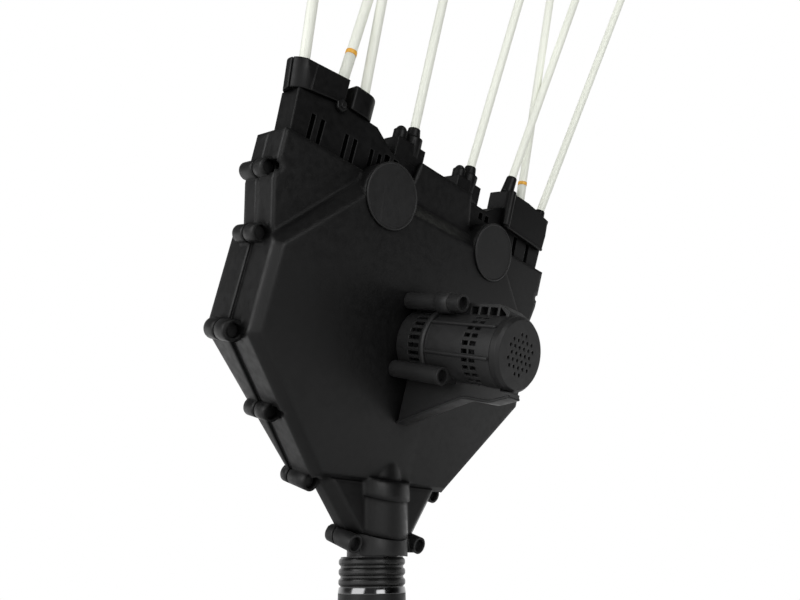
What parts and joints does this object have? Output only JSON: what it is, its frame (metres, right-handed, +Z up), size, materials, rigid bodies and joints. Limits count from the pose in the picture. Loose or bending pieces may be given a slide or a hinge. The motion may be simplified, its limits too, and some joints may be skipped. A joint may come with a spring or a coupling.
{
  "type": "electric olive harvester head",
  "caption": "Olive harvester head on a pole stub: swinging hands of slim pale rods, driven by a geared motor and crank inside a flat black case that leans forward.",
  "frame": {"origin": "centre of the pole tube's lower end", "axes": "+Z up the pole towards the rods, -Y towards the motor side, +X to the right seen from the motor side"},
  "size_m": [0.3554, 0.2243, 0.66],
  "materials": {
    "case_plastic": "satin",
    "hand_plastic": "satin",
    "rod_plastic": "satin",
    "marker_plastic": "satin",
    "rubber": "matte",
    "tube_aluminium": "satin",
    "steel": "satin",
    "magnet": "matte",
    "brass": "satin"
  },
  "bodies": {
    "housing": {"pole_tube": "tube_aluminium", "pole_ring": "rubber", "pole_boot": "rubber", "neck_tube": "tube_aluminium", "pole_collar": "case_plastic", "collar_back": "case_plastic", "collar_screws": "steel", "front_cover": "case_plastic", "rear_cover": "case_plastic", "cover_gasket": "rubber", "cover_screws": "steel", "pivot_caps": "case_plastic", "pivot_pins": "steel", "motor_cover_top": "case_plastic", "motor_cover_bottom": "case_plastic", "motor_end_cap": "case_plastic", "motor_cover_screws": "steel", "motor_plate": "steel", "motor_can": "steel", "motor_magnets": "magnet", "brush_plate": "brass", "brushes": "brass", "shaft_bushes": "brass", "crank_bearings": "steel"},
    "rotor": {"rotor_shaft": "steel", "armature": "steel", "commutator": "brass", "fan": "case_plastic", "pinion": "steel"},
    "crank": {"drive_gear": "steel", "crankshaft": "steel"},
    "left_link": {"left_link": "tube_aluminium"},
    "right_link": {"right_link": "tube_aluminium"},
    "left_hand": {"left_arm": "hand_plastic", "left_bushes": "brass", "left_outer_clamp": "hand_plastic", "left_inner_clamp": "hand_plastic", "left_holder": "hand_plastic", "left_rods": "rod_plastic", "left_collar": "hand_plastic", "left_screws": "steel", "left_marker": "marker_plastic"},
    "right_hand": {"right_arm": "hand_plastic", "right_bushes": "brass", "right_outer_clamp": "hand_plastic", "right_inner_clamp": "hand_plastic", "right_holder": "hand_plastic", "right_rods": "rod_plastic", "right_collars": "hand_plastic", "right_screws": "steel", "right_marker": "marker_plastic"}
  },
  "joints": [
    {"name": "crank_spin", "type": "hinge", "parent": "housing", "child": "crank", "pos_m": [0, -0.00886, 0.18657], "axis": [0, 0.9455, 0.3256], "continuous": true},
    {"name": "rotor_spin", "type": "hinge", "parent": "housing", "child": "rotor", "pos_m": [0, -0.04102, 0.20934], "axis": [0, 0.9455, 0.3256], "continuous": true},
    {"name": "left_link_turn", "type": "hinge", "parent": "crank", "child": "left_link", "pos_m": [-0.00418, -0.00482, 0.18559], "axis": [0, 0.9455, 0.3256], "continuous": true},
    {"name": "right_link_turn", "type": "hinge", "parent": "crank", "child": "right_link", "pos_m": [-0.00418, -0.0006, 0.19178], "axis": [0, 0.9455, 0.3256], "continuous": true},
    {"name": "left_hand_swing", "type": "hinge", "parent": "housing", "child": "left_hand", "pos_m": [-0.049, -0.04653, 0.28676], "axis": [0, -0.9455, -0.3256], "range_deg": [-5, 5]},
    {"name": "right_hand_swing", "type": "hinge", "parent": "housing", "child": "right_hand", "pos_m": [0.049, -0.04653, 0.28676], "axis": [0, 0.9455, 0.3256], "range_deg": [-5, 5]}
  ],
  "couplings": [
    {"joint": "rotor_spin", "follows": "crank_spin", "ratio": -4.3333},
    {"joint": "left_link_turn", "follows": "crank_spin", "ratio": -1},
    {"joint": "right_link_turn", "follows": "crank_spin", "ratio": -1},
    {"joint": "right_hand_swing", "follows": "left_hand_swing", "ratio": 1}
  ]
}
